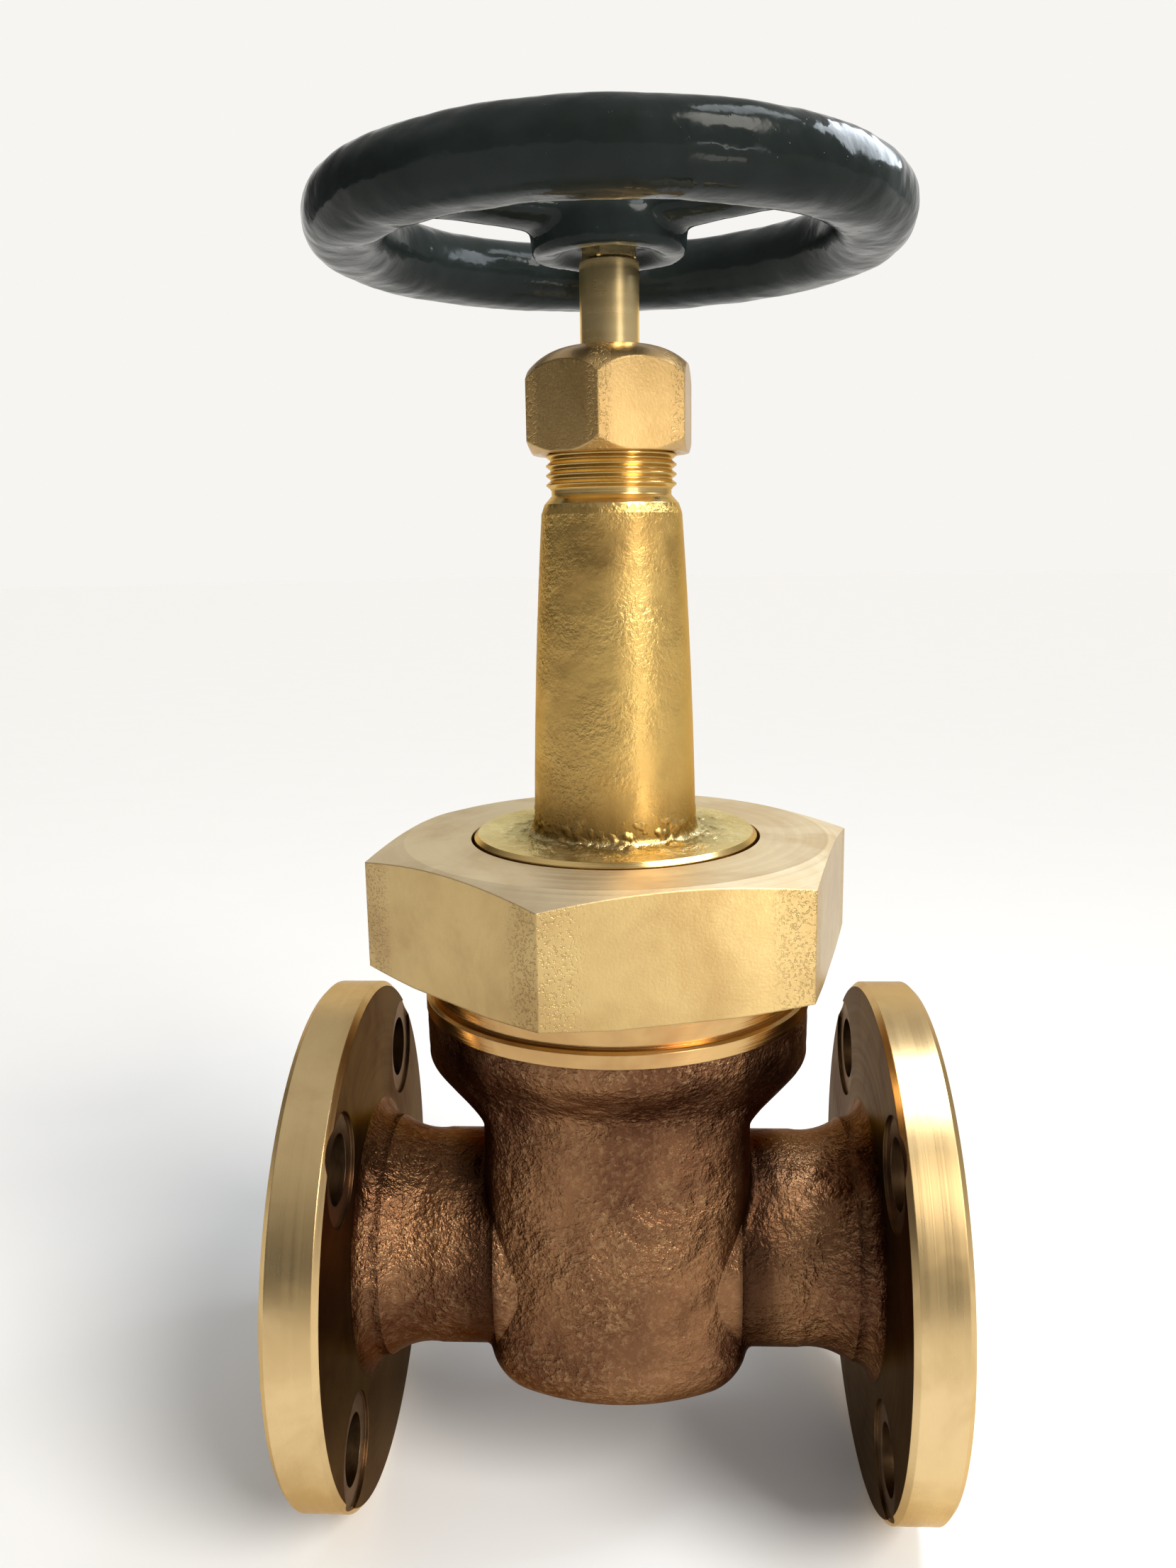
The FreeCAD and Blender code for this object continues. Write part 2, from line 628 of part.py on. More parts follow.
# ---- stuffing box ---------------------------------------------------------------------------
def packing_gland():
    packing_top = STUFFING_BOTTOM + PACKING_WASHER_T + PACKING_RINGS * PACKING_RING_T
    return turned([
        (GLAND_IN_R, packing_top),
        (GLAND_OUT_R, packing_top),
        (GLAND_OUT_R, GLAND_FLANGE_BOTTOM),
        (GLAND_FLANGE_R, GLAND_FLANGE_BOTTOM),
        (GLAND_FLANGE_R, GLAND_TOP),
        (GLAND_IN_R, GLAND_TOP),
    ])


def packing_nut():
    """The nut that presses the gland down, with a six-sided skirt and a domed top."""
    corner_r = PACKING_NUT_FLATS / 2 / math.cos(math.radians(30))
    envelope = turned([
        (0, PACKING_NUT_BOTTOM),
        (corner_r - PACKING_NUT_CHAMFER, PACKING_NUT_BOTTOM),
        (corner_r, PACKING_NUT_BOTTOM + PACKING_NUT_CHAMFER),
        (corner_r, PACKING_NUT_CORNER_TOP),
        ((PACKING_NUT_DOME_R, PACKING_NUT_DOME_Z), (PACKING_NUT_TOP_R, PACKING_NUT_TOP)),
        (0, PACKING_NUT_TOP),
    ])
    hole = turned([
        (0, PACKING_NUT_BOTTOM - PAST),
        (PACKING_NUT_BORE_R + CHAMFER, PACKING_NUT_BOTTOM - PAST),
        (PACKING_NUT_BORE_R + CHAMFER, PACKING_NUT_BOTTOM),
        (PACKING_NUT_BORE_R, PACKING_NUT_BOTTOM + CHAMFER),
        (PACKING_NUT_BORE_R, PACKING_NUT_BORE_TOP),
        (GLAND_SEAT_R, PACKING_NUT_BORE_TOP + CHAMFER),
        (GLAND_SEAT_R, GLAND_TOP),
        (PACKING_NUT_HOLE_R, GLAND_TOP),
        (PACKING_NUT_HOLE_R, PACKING_NUT_TOP + PAST),
        (0, PACKING_NUT_TOP + PAST),
    ])
    bar = hexagon(PACKING_NUT_FLATS, PACKING_NUT_BOTTOM, PACKING_NUT_TOP, PACKING_NUT_CORNER_ANGLE)
    return bar.common(envelope).cut(hole)


# ---- handwheel ------------------------------------------------------------------------------
def rim():
    middle_r = WHEEL_R - RIM_WIDTH / 2
    half_w = RIM_WIDTH / 2
    half_h = RIM_HEIGHT / 2
    corners = []
    for side_r, side_z, first in [(1, 1, 0), (-1, 1, 90), (-1, -1, 180), (1, -1, 270)]:
        centre_r = middle_r + side_r * (half_w - RIM_CORNER)
        centre_z = WHEEL_MIDDLE_Z + side_z * (half_h - RIM_CORNER)
        start, middle, end = [arc_point(centre_r, centre_z, RIM_CORNER, first + step)
                              for step in (0, 45, 90)]
        corners += [start, (middle, end)]
    return turned(corners)


def spoke(angle):
    """An oval arm that is thicker where it meets the hub and the rim."""
    sections = []
    for along, half_wide, half_tall, z in SPOKE_STATIONS:
        oval = Part.Ellipse(ORIGIN, half_wide, half_tall).toShape()
        oval.rotate(ORIGIN, X_AXIS, 90)
        oval.rotate(ORIGIN, Z_AXIS, 90)
        oval.translate(FreeCAD.Vector(along, 0, z))
        sections.append(Part.Wire([oval]))
    arm = Part.makeLoft(sections, True, False)
    arm.rotate(ORIGIN, Z_AXIS, angle)
    return arm


def handwheel():
    """The rim, the arms and a hub whose washer sits in a shallow recess."""
    hub = turned([
        (0, HUB_BOTTOM + HUB_DISH),
        (HUB_DISH_R - HUB_DISH, HUB_BOTTOM + HUB_DISH),
        (HUB_DISH_R, HUB_BOTTOM),
        (HUB_R - CHAMFER, HUB_BOTTOM),
        (HUB_R, HUB_BOTTOM + CHAMFER),
        (HUB_R, HUB_SHOULDER),
        (HUB_RING_R, HUB_RING_TOP),
        (HUB_RECESS_R + CHAMFER, HUB_RING_TOP),
        (HUB_RECESS_R, HUB_RING_TOP - CHAMFER),
        (HUB_RECESS_R, HUB_TOP),
        (0, HUB_TOP),
    ])
    arms = [spoke(FIRST_SPOKE_ANGLE + 360 / SPOKES * index) for index in range(SPOKES)]
    hole = square_bar(SQUARE_HOLE, HUB_BOTTOM - PAST, HUB_TOP + PAST)
    return rim().fuse([hub] + arms).cut(hole)


def spring_washer(bottom):
    ring = tube(END_HOLE_R, SPRING_WASHER_R, bottom, bottom + SPRING_WASHER_T)
    gap = Part.makeBox(FAR, SPRING_WASHER_GAP, FAR,
                       FreeCAD.Vector(0, -SPRING_WASHER_GAP / 2, bottom - FAR / 2))
    return ring.cut(gap)


def end_nut(bottom):
    corner_r = END_NUT_FLATS / 2 / math.cos(math.radians(30))
    envelope = turned([
        (0, bottom),
        (END_NUT_FLATS / 2, bottom),
        (corner_r, bottom + SMALL_CHAMFER),
        (corner_r, bottom + END_NUT_T - SMALL_CHAMFER),
        (END_NUT_FLATS / 2, bottom + END_NUT_T),
        (0, bottom + END_NUT_T),
    ])
    bar = hexagon(END_NUT_FLATS, bottom, bottom + END_NUT_T, END_NUT_ANGLE)
    return bar.common(envelope).cut(rod(END_HOLE_R, bottom - PAST, bottom + END_NUT_T + PAST))


# ---- write every piece ----------------------------------------------------------------------
def main():
    os.makedirs("parts", exist_ok=True)
    export("body", body())
    export("seat_ring_inlet", seat_ring(-1))
    export("seat_ring_outlet", seat_ring(1))
    export("wedge", wedge())
    export("stem", stem())
    export("bonnet_gasket", tube(GASKET_IN_R, GASKET_OUT_R, BODY_TOP, BONNET_FLANGE_BOTTOM))
    export("bonnet", bonnet())
    export("union_nut", union_nut())
    packing_bottom = STUFFING_BOTTOM + PACKING_WASHER_T
    export("packing_washer", tube(BACKSEAT_BORE_R, PACKING_OUT_R, STUFFING_BOTTOM, packing_bottom))
    for index in range(PACKING_RINGS):
        bottom = packing_bottom + index * PACKING_RING_T
        export("packing_ring_%d" % (index + 1),
               tube(PACKING_IN_R, PACKING_OUT_R, bottom, bottom + PACKING_RING_T))
    export("packing_gland", packing_gland())
    export("packing_nut", packing_nut())
    export("handwheel", handwheel())
    washer_top = HUB_TOP + WASHER_T
    export("handwheel_washer", tube(END_HOLE_R, WASHER_R, HUB_TOP, washer_top))
    export("handwheel_spring_washer", spring_washer(washer_top))
    export("handwheel_nut", end_nut(washer_top + SPRING_WASHER_T))


main()
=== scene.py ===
"""The looks of a flanged bronze gate valve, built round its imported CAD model. Metres throughout.

The pipe runs along X through the flange centres, the stem stands along Z, and the origin is the
centre of the inlet flange's face. Every pattern is worked out from a piece's own place in that
frame, so it stays with the piece when the piece moves.
"""

import math

import bmesh
import bpy
from mathutils import Matrix, Vector, noise


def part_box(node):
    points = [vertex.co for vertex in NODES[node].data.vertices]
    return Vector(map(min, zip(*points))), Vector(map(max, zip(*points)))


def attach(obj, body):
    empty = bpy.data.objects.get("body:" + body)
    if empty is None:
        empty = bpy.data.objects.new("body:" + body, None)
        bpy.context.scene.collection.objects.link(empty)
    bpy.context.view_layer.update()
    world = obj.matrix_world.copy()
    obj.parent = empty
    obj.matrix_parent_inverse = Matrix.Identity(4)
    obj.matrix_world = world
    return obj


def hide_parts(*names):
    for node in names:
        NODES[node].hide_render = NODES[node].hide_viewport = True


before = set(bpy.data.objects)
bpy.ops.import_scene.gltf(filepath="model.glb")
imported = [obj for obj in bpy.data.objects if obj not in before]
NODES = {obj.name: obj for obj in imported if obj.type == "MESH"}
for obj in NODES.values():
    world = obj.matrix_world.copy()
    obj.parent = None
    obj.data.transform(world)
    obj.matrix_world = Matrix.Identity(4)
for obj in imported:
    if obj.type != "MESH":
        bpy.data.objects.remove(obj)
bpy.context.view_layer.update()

MM = 0.001
BODY_LOW, BODY_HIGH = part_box("body")
STEM_X = (BODY_LOW.x + BODY_HIGH.x) / 2
FLOOR_Z = BODY_LOW.z

# Where each nut's first corner stands about the stem, and the turn from one corner to the next.
UNION_CORNER = math.radians(-103.85)
PACKING_CORNER = math.radians(-96.0)
SIXTH = math.radians(60)


# ---- material nodes --------------------------------------------------------------------------
class Recipe:
    """Builds one material. A value may be a number, a colour or another node's output."""

    def __init__(self, name, metallic, ior=1.5, rim_tint=(1.0, 1.0, 1.0)):
        self.material = bpy.data.materials.new(name)
        self.material.use_nodes = True
        self.nodes = self.material.node_tree.nodes
        self.links = self.material.node_tree.links
        self.shader = self.nodes["Principled BSDF"]
        self.shader.inputs["Metallic"].default_value = metallic
        self.shader.inputs["IOR"].default_value = ior
        self.shader.inputs["Specular Tint"].default_value = (*rim_tint, 1.0)
        self.place = self.nodes.new("ShaderNodeTexCoord").outputs["Object"]

    def put(self, socket, value):
        if isinstance(value, bpy.types.NodeSocket):
            self.links.new(value, socket)
        elif isinstance(value, tuple):
            socket.default_value = (*value, 1.0)[: len(socket.default_value)]
        else:
            socket.default_value = value

    def math(self, operation, first, second=0.0, third=0.0):
        node = self.nodes.new("ShaderNodeMath")
        node.operation = operation
        for socket, value in zip(node.inputs, (first, second, third)):
            self.put(socket, value)
        return node.outputs[0]

    def step(self, value, low, high, start=0.0, end=1.0):
        """Goes smoothly from start to end while value goes from low to high."""
        node = self.nodes.new("ShaderNodeMapRange")
        node.interpolation_type = "SMOOTHSTEP"
        for name, number in (("Value", value), ("From Min", low), ("From Max", high),
                             ("To Min", start), ("To Max", end)):
            self.put(node.inputs[name], number)
        return node.outputs[0]

    def mix(self, share, first, second):
        node = self.nodes.new("ShaderNodeMix")
        node.data_type = "RGBA"
        for name, value in (("Factor_Float", share), ("A_Color", first), ("B_Color", second)):
            socket = next(s for s in node.inputs if s.identifier == name)
            self.put(socket, value)
        return next(s for s in node.outputs if s.identifier == "Result_Color")

    def vector(self, x, y, z=0.0):
        node = self.nodes.new("ShaderNodeCombineXYZ")
        for socket, value in zip(node.inputs, (x, y, z)):
            self.put(socket, value)
        return node.outputs[0]

    def axes(self):
        node = self.nodes.new("ShaderNodeSeparateXYZ")
        self.put(node.inputs[0], self.place)
        return node.outputs[0], node.outputs[1], node.outputs[2]

    def noise(self, size, detail=3.0, rough=0.55, bend=0.0, place=None):
        """A cloudy pattern whose lumps are about size across, from 0 to 1."""
        node = self.nodes.new("ShaderNodeTexNoise")
        self.put(node.inputs["Vector"], place or self.place)
        for name, value in (("Scale", 1 / size), ("Detail", detail),
                            ("Roughness", rough), ("Distortion", bend)):
            self.put(node.inputs[name], value)
        return node.outputs["Fac"]

    def about_stem(self):
        """Distance from the stem's axis, angle about it and height."""
        x, y, z = self.axes()
        across = self.math("SUBTRACT", x, STEM_X)
        square = self.math("ADD", self.math("MULTIPLY", across, across), self.math("MULTIPLY", y, y))
        return self.math("SQRT", square), self.math("ARCTAN2", y, across), z

    def about_pipe(self):
        """Distance from the pipe's axis and place along it."""
        x, y, z = self.axes()
        square = self.math("ADD", self.math("MULTIPLY", y, y), self.math("MULTIPLY", z, z))
        return self.math("SQRT", square), x

    def turned_marks(self, radius, along, size):
        """Fine rings left by a lathe tool, from 0 to 1."""
        return self.noise(size, 2.0, 0.6, 0.0, self.vector(radius, along))

    def bump(self, height, distance, under=None):
        node = self.nodes.new("ShaderNodeBump")
        self.put(node.inputs["Height"], height)
        self.put(node.inputs["Distance"], distance)
        if under is not None:
            self.put(node.inputs["Normal"], under)
        return node.outputs[0]

    def shelter(self, reach):
        """How open a place is: 1 on a free surface, less in creases and corners."""
        node = self.nodes.new("ShaderNodeAmbientOcclusion")
        node.samples = 8
        node.only_local = True
        self.put(node.inputs["Distance"], reach)
        return node.outputs["AO"]

    def soft_edges(self, radius):
        """Rounds sharp edges in the shading, as a file or years of handling would."""
        node = self.nodes.new("ShaderNodeBevel")
        node.samples = 4
        self.put(node.inputs["Radius"], radius)
        return node.outputs[0]

    def finish(self, colour, roughness, normal=None):
        self.put(self.shader.inputs["Base Color"], colour)
        self.put(self.shader.inputs["Roughness"], roughness)
        if normal is not None:
            self.put(self.shader.inputs["Normal"], normal)
        return self.material


# ---- materials -------------------------------------------------------------------------------
def cast_metal(name, deep, plain, bright, size, relief, swell, smoothest, shade_beside_x=None):
    """Sand-cast metal: a crinkled grain that comes and goes over soft stains, rubbed bright on
    its tops, with painted shade darkening its creases. A band of painted shade may also lie at
    about shade_beside_x to either side of the stem, where the necks meet the barrel."""
    made = Recipe(name, 1.0, rim_tint=tuple(0.3 + part for part in plain))
    grain = made.noise(size, 2.5, 0.62, 0.2)
    pores = made.noise(0.6 * MM, 2.0, 0.6)
    height = made.math("ADD", grain, made.math("MULTIPLY", pores, 0.3))
    crinkled = made.step(made.noise(26 * MM, 2.0, 0.5), 0.36, 0.64, smoothest, 1.0)
    stain = made.noise(34 * MM, 3.0, 0.5, 0.3)
    colour = made.mix(made.step(stain, 0.36, 0.64), deep, plain)
    rubbed = made.math("MULTIPLY", made.step(height, 0.60, 0.86, 0.0, 0.3), crinkled)
    colour = made.mix(rubbed, colour, bright)
    painted_shade = tuple(part * 0.35 for part in deep)
    # Painted shade: the colour darkens to a near-black brown where ambient occlusion finds creases and
    # corners.
    colour = made.mix(made.step(made.shelter(16 * MM), 0.50, 1.02, 1.0, 0.0), colour, painted_shade)
    # Painted shade: a dark band beside the barrel's sides, standing in for the shadow where the necks
    # meet it.
    if shade_beside_x is not None:
        beside = made.math("ABSOLUTE", made.math("SUBTRACT", made.axes()[0], STEM_X))
        inner = made.step(beside, shade_beside_x - 3 * MM, shade_beside_x)
        outer = made.step(beside, shade_beside_x + 2 * MM, shade_beside_x + 12 * MM, 0.85, 0.0)
        colour = made.mix(made.math("MULTIPLY", inner, outer), colour, painted_shade)
    roughness = made.step(made.noise(6 * MM, 3.0), 0.3, 0.7, 0.32, 0.45)
    broad = made.bump(made.noise(11 * MM, 2.0, 0.5), swell)
    grained = made.bump(made.math("MULTIPLY", height, crinkled), relief, broad)
    return made.finish(colour, roughness, grained)


def turned_metal(name, about, plain, worn, low_roughness, high_roughness, cut=0.02 * MM):
    """Metal turned on a lathe: rings about cut deep round its axis, soft stains and dull spots."""
    made = Recipe(name, 1.0, rim_tint=tuple(0.25 + 0.75 * part for part in plain))
    if about == "pipe":
        radius, along = made.about_pipe()
    else:
        radius, _, along = made.about_stem()
    rings = made.turned_marks(radius, along, 0.45 * MM)
    stain = made.noise(22 * MM, 4.0, 0.6, 0.5)
    spots = made.noise(2.2 * MM, 3.0, 0.7)
    colour = made.mix(made.step(stain, 0.34, 0.70), plain, worn)
    colour = made.mix(made.step(spots, 0.70, 0.80, 0.0, 0.45), colour, worn)
    streaks = made.turned_marks(radius, along, 1.6 * MM)
    roughness = made.math("ADD", made.step(streaks, 0.3, 0.7, low_roughness, high_roughness),
                          made.step(stain, 0.5, 0.8, 0.0, 0.08))
    return made.finish(colour, roughness, made.bump(rings, cut, made.soft_edges(0.25 * MM)))


def nut_metal(name, corner, band, flats, plain, worn):
    """A six-sided nut: milled smooth down the middle of each side and pitted beside its corners."""
    made = Recipe(name, 1.0)
    radius, angle, height = made.about_stem()
    turn = made.math("SUBTRACT", angle, corner)
    from_corner = made.math("PINGPONG", turn, SIXTH / 2)
    across = made.math("MULTIPLY", from_corner, flats)
    pitted = made.step(across, band, band * 3, 1.0, 0.0)
    pits = made.step(made.noise(0.7 * MM, 2.0, 0.6), 0.52, 0.66)
    drag = made.noise(1.1 * MM, 3.0, 0.6, 0.0, made.vector(made.math("MULTIPLY", angle, flats * 4),
                                                        made.math("MULTIPLY", height, 0.5)))
    stain = made.noise(24 * MM, 4.0, 0.6, 0.3)
    colour = made.mix(made.step(stain, 0.34, 0.72), plain, worn)
    colour = made.mix(made.math("MULTIPLY", made.math("MULTIPLY", pits, pitted), 0.5), colour, worn)
    roughness = made.math("ADD", made.step(drag, 0.3, 0.7, 0.29, 0.38),
                          made.math("MULTIPLY", pitted, 0.06))
    fine = made.bump(made.noise(0.6 * MM, 2.0, 0.6), 0.03 * MM, made.soft_edges(0.5 * MM))
    rough = made.bump(made.math("MULTIPLY", pits, pitted), -0.07 * MM, fine)
    return made.finish(colour, roughness, rough)


def black_enamel(name):
    """Thick glossy stove enamel over a rough iron casting, with sags, peel and specks of dust."""
    made = Recipe(name, 0.0, 1.2)
    shade = made.noise(35 * MM, 3.0, 0.6, 0.4)
    dust = made.noise(1.2 * MM, 2.0, 0.8)
    colour = made.mix(made.step(shade, 0.3, 0.7), (0.008, 0.011, 0.010), (0.016, 0.021, 0.020))
    colour = made.mix(made.step(dust, 0.74, 0.82, 0.0, 0.3), colour, (0.10, 0.11, 0.11))
    roughness = made.step(made.noise(9 * MM, 4.0, 0.65), 0.35, 0.75, 0.10, 0.26)
    sags = made.bump(made.noise(14 * MM, 1.5, 0.5, 0.4), 1.0 * MM)
    peel = made.bump(made.noise(3.0 * MM, 2.0, 0.5), 0.12 * MM, sags)
    return made.finish(colour, roughness, made.bump(made.step(dust, 0.70, 0.80), 0.10 * MM, peel))


def plated_steel(name):
    made = Recipe(name, 1.0)
    stain = made.noise(4 * MM, 3.0, 0.6)
    radius, _, height = made.about_stem()
    rings = made.turned_marks(radius, height, 0.3 * MM)
    colour = made.mix(made.step(stain, 0.3, 0.7), (0.56, 0.57, 0.58), (0.42, 0.42, 0.40))
    return made.finish(colour, made.step(rings, 0.3, 0.7, 0.22, 0.36), made.bump(rings, 0.015 * MM))


def pressed_sheet(name):
    """Compressed fibre gasket sheet: dull grey, with short hairs pressed into it."""
    made = Recipe(name, 0.0)
    hairs = made.noise(0.5 * MM, 3.0, 0.7, 2.0)
    colour = made.mix(hairs, (0.16, 0.17, 0.17), (0.30, 0.31, 0.30))
    return made.finish(colour, made.step(hairs, 0.3, 0.7, 0.7, 0.9), made.bump(hairs, 0.06 * MM))


def packing_cord(name):
    """Graphited square cord: slanting plaits round the stem."""
    made = Recipe(name, 0.0)
    radius, angle, height = made.about_stem()
    slant = made.math("ADD", made.math("MULTIPLY", angle, 12.0), made.math("DIVIDE", height, 0.9 * MM))
    plait = made.math("ABSOLUTE", made.math("SINE", slant))
    fluff = made.noise(0.3 * MM, 2.0, 0.7)
    colour = made.mix(plait, (0.02, 0.02, 0.022), (0.09, 0.09, 0.095))
    return made.finish(colour, made.step(fluff, 0.3, 0.7, 0.45, 0.65), made.bump(plait, 0.2 * MM))


BRONZE_DEEP = (0.105, 0.042, 0.022)
BRONZE_PLAIN = (0.245, 0.120, 0.056)
BRONZE_BRIGHT = (0.58, 0.38, 0.19)
BRASS = (0.70, 0.51, 0.26)
BRASS_WORN = (0.57, 0.40, 0.19)

MATERIALS = {
    # cast_bronze also gets a band of painted shade 28.5 mm out to either side of the stem, beside the
    # barrel.
    "cast_bronze": cast_metal("cast_bronze", BRONZE_DEEP, BRONZE_PLAIN, BRONZE_BRIGHT,
                              size=1.3 * MM, relief=0.8 * MM, swell=2.2 * MM,
                              smoothest=0.45, shade_beside_x=28.5 * MM),
    "cast_brass": cast_metal("cast_brass", (0.52, 0.32, 0.10), (0.64, 0.43, 0.14), (0.74, 0.54, 0.22),
                             size=1.1 * MM, relief=0.32 * MM, swell=0.5 * MM, smoothest=0.15),
    "skimmed_brass": cast_metal("skimmed_brass",
                                (0.64, 0.48, 0.21), (0.82, 0.68, 0.38), (0.94, 0.86, 0.62),
                                size=1.6 * MM, relief=0.55 * MM, swell=0.4 * MM, smoothest=0.6),
    "turned_flange": turned_metal("turned_flange", "pipe", BRASS, BRASS_WORN,
                                  low_roughness=0.25, high_roughness=0.31, cut=0.012 * MM),
    "flange_back": turned_metal("flange_back", "pipe", (0.17, 0.105, 0.050), (0.11, 0.062, 0.032),
                                low_roughness=0.30, high_roughness=0.36),
    "spot_face": turned_metal("spot_face", "pipe", (0.30, 0.21, 0.14), (0.20, 0.13, 0.085),
                              low_roughness=0.3, high_roughness=0.4),
    "turned_band": turned_metal("turned_band", "stem", (0.60, 0.38, 0.16), (0.44, 0.25, 0.10),
                                low_roughness=0.14, high_roughness=0.24),
    "turned_brass": turned_metal("turned_brass", "stem", (0.76, 0.54, 0.22), (0.58, 0.38, 0.14),
                                 low_roughness=0.16, high_roughness=0.28),
    "union_brass": nut_metal("union_brass", UNION_CORNER, band=3.0 * MM, flats=48 * MM,
                             plain=(0.57, 0.41, 0.18), worn=(0.44, 0.29, 0.12)),
    "union_top": turned_metal("union_top", "stem", (0.78, 0.67, 0.47), (0.64, 0.51, 0.33),
                              low_roughness=0.46, high_roughness=0.54),
    "packing_brass": nut_metal("packing_brass", PACKING_CORNER, band=1.0 * MM, flats=16 * MM,
                               plain=(0.59, 0.39, 0.16), worn=(0.46, 0.29, 0.11)),
    "stem_brass": turned_metal("stem_brass", "stem", (0.98, 0.75, 0.38), (0.90, 0.64, 0.28),
                               low_roughness=0.24, high_roughness=0.28, cut=0.003 * MM),
    "seat_bronze": turned_metal("seat_bronze", "pipe", (0.70, 0.50, 0.28), (0.50, 0.33, 0.17),
                                low_roughness=0.2, high_roughness=0.3),
    "black_enamel": black_enamel("black_enamel"),
    "plated_steel": plated_steel("plated_steel"),
    "gasket_sheet": pressed_sheet("gasket_sheet"),
    "packing_cord": packing_cord("packing_cord"),
}


def dress(piece, *names):
    piece.data.materials.clear()
    for name in names:
        piece.data.materials.append(MATERIALS[name])


def dress_faces(piece, names, choose):
    """Gives each face one of several materials: choose says which, from its middle and normal."""
    dress(piece, *names)
    for face in piece.data.polygons:
        face.material_index = names.index(choose(face.center, face.normal))


# ---- which material each face of a casting takes ---------------------------------------------
FLANGE_T = 12.0 * MM
FLANGE_R = (BODY_HIGH.y - BODY_LOW.y) / 2
FLANGE_FACE_DEPTH = 0.2 * MM
FLANGE_RIM_DEPTH = 1.3 * MM
SPOT_FACE_DEPTH = 0.5 * MM
BACK_DEPTH = 0.1 * MM
BACK_INNER_R = 21 * MM
BORE_REACH = 20.5 * MM
COLLAR_BAND_Z = 60.75 * MM
SQUARE_TO_PIPE = 0.9

TUBE_THREAD_Z = 171.0 * MM
DISC_RIM_R = 30.5 * MM
DISC_INNER_R = 17.5 * MM
DISC_FACES_UP = 0.6
UNION_FACES_UP = 0.5


def body_finish(centre, normal):
    """Turned on the flange faces, rims, bore and collar, and as cast everywhere else."""
    to_end = min(centre.x - BODY_LOW.x, BODY_HIGH.x - centre.x)
    radius = math.hypot(centre.y, centre.z)
    if to_end < FLANGE_FACE_DEPTH or (to_end < FLANGE_T and radius > FLANGE_R - FLANGE_RIM_DEPTH):
        return "turned_flange"
    if to_end < FLANGE_T - SPOT_FACE_DEPTH and abs(normal.x) > SQUARE_TO_PIPE:
        return "spot_face"
    if to_end < FLANGE_T + BACK_DEPTH and radius > BACK_INNER_R:
        return "flange_back"
    if centre.z > COLLAR_BAND_Z:
        return "turned_band"
    if radius < BORE_REACH or to_end < FLANGE_T:
        return "turned_flange"
    return "cast_bronze"


def bonnet_finish(centre, normal):
    """Turned on the thread and the disc's rim, rough and pale on the disc's top, else as cast."""
    radius = math.hypot(centre.x - STEM_X, centre.y)
    if centre.z > TUBE_THREAD_Z or radius > DISC_RIM_R:
        return "turned_brass"
    if radius > DISC_INNER_R and normal.z > DISC_FACES_UP:
        return "skimmed_brass"
    return "cast_brass"


def union_finish(centre, normal):
    return "union_top" if normal.z > UNION_FACES_UP else "union_brass"


# ---- pieces made here ------------------------------------------------------------------------
def copy_mesh(node, name):
    """A piece of its own with the same shape as a CAD node."""
    piece = NODES[node].copy()
    piece.data = NODES[node].data.copy()
    piece.name = name
    piece.data.name = name
    piece.parent = None
    bpy.context.scene.collection.objects.link(piece)
    return piece


def reshape(piece, *modifiers):
    """Runs modifiers on a piece for good. Each is its type and its settings."""
    for kind, settings in modifiers:
        modifier = piece.modifiers.new(kind.lower(), kind)
        for setting, value in settings.items():
            setattr(modifier, setting, value)
    layout = bpy.context.evaluated_depsgraph_get()
    mesh = bpy.data.meshes.new_from_object(piece.evaluated_get(layout))
    piece.modifiers.clear()
    old = piece.data
    piece.data = mesh
    bpy.data.meshes.remove(old)
    mesh.name = piece.name
    smooth_faces(mesh)


def smooth_faces(mesh):
    mesh.polygons.foreach_set("use_smooth", [True] * len(mesh.polygons))


def lumps(place, layers):
    """How high a lumpy skin stands at a place. Each layer is its lumps' size and their height."""
    return sum(noise.noise(place / size) * height for size, height in layers)


WHEEL_GRID = 0.8 * MM
WHEEL_ROUNDS = 9
WHEEL_HOLE_ZONE = 7.2 * MM
WHEEL_HOLE_EASE = 0.25 * MM
WHEEL_LUMPS = ((9 * MM, 0.22 * MM), (3.2 * MM, 0.07 * MM))


def handwheel_casting():
    """The wheel as thick enamel leaves it: arms run into rim and hub, and its skin is uneven."""
    wheel = copy_mesh("handwheel", "handwheel_casting")
    reshape(wheel, ("REMESH", {"mode": "VOXEL", "voxel_size": WHEEL_GRID}),
            ("SMOOTH", {"factor": 0.5, "iterations": WHEEL_ROUNDS}))
    places = []
    for vertex in wheel.data.vertices:
        place = vertex.co.copy()
        out = Vector((place.x - STEM_X, place.y, 0))
        if out.length < WHEEL_HOLE_ZONE:
            places.extend(place + out.normalized() * WHEEL_HOLE_EASE)
        else:
            places.extend(place + vertex.normal * lumps(place, WHEEL_LUMPS))
    wheel.data.vertices.foreach_set("co", places)
    wheel.data.update()
    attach(wheel, "stem")
    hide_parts("handwheel")
    dress(wheel, "black_enamel")


FOOT_TUBE_R = 18.1 * MM
FOOT_FILLET = 1.8 * MM
FOOT_DISC_Z = 99.9 * MM

# Where the crust ends, up the tube and out over the disc, and where it turns paler.
CRUST_TOP_Z = 106.4 * MM
CRUST_OUT_R = 29.5 * MM
CRUST_PALE_TOP_Z = 100.9 * MM

# How thick it may grow: at its top, at the foot, and where its skirt on the disc begins. Its lumps
# are shares of that, above a level share that is there everywhere.
CRUST_TOP_GROWTH = 0.3 * MM
CRUST_GROWTH = 0.8 * MM
CRUST_SKIRT_GROWTH = 1.0 * MM
CRUST_LUMPS = ((5 * MM, 0.8), (1.8 * MM, 0.7), (0.7 * MM, 0.3))
CRUST_LEVEL = 0.2

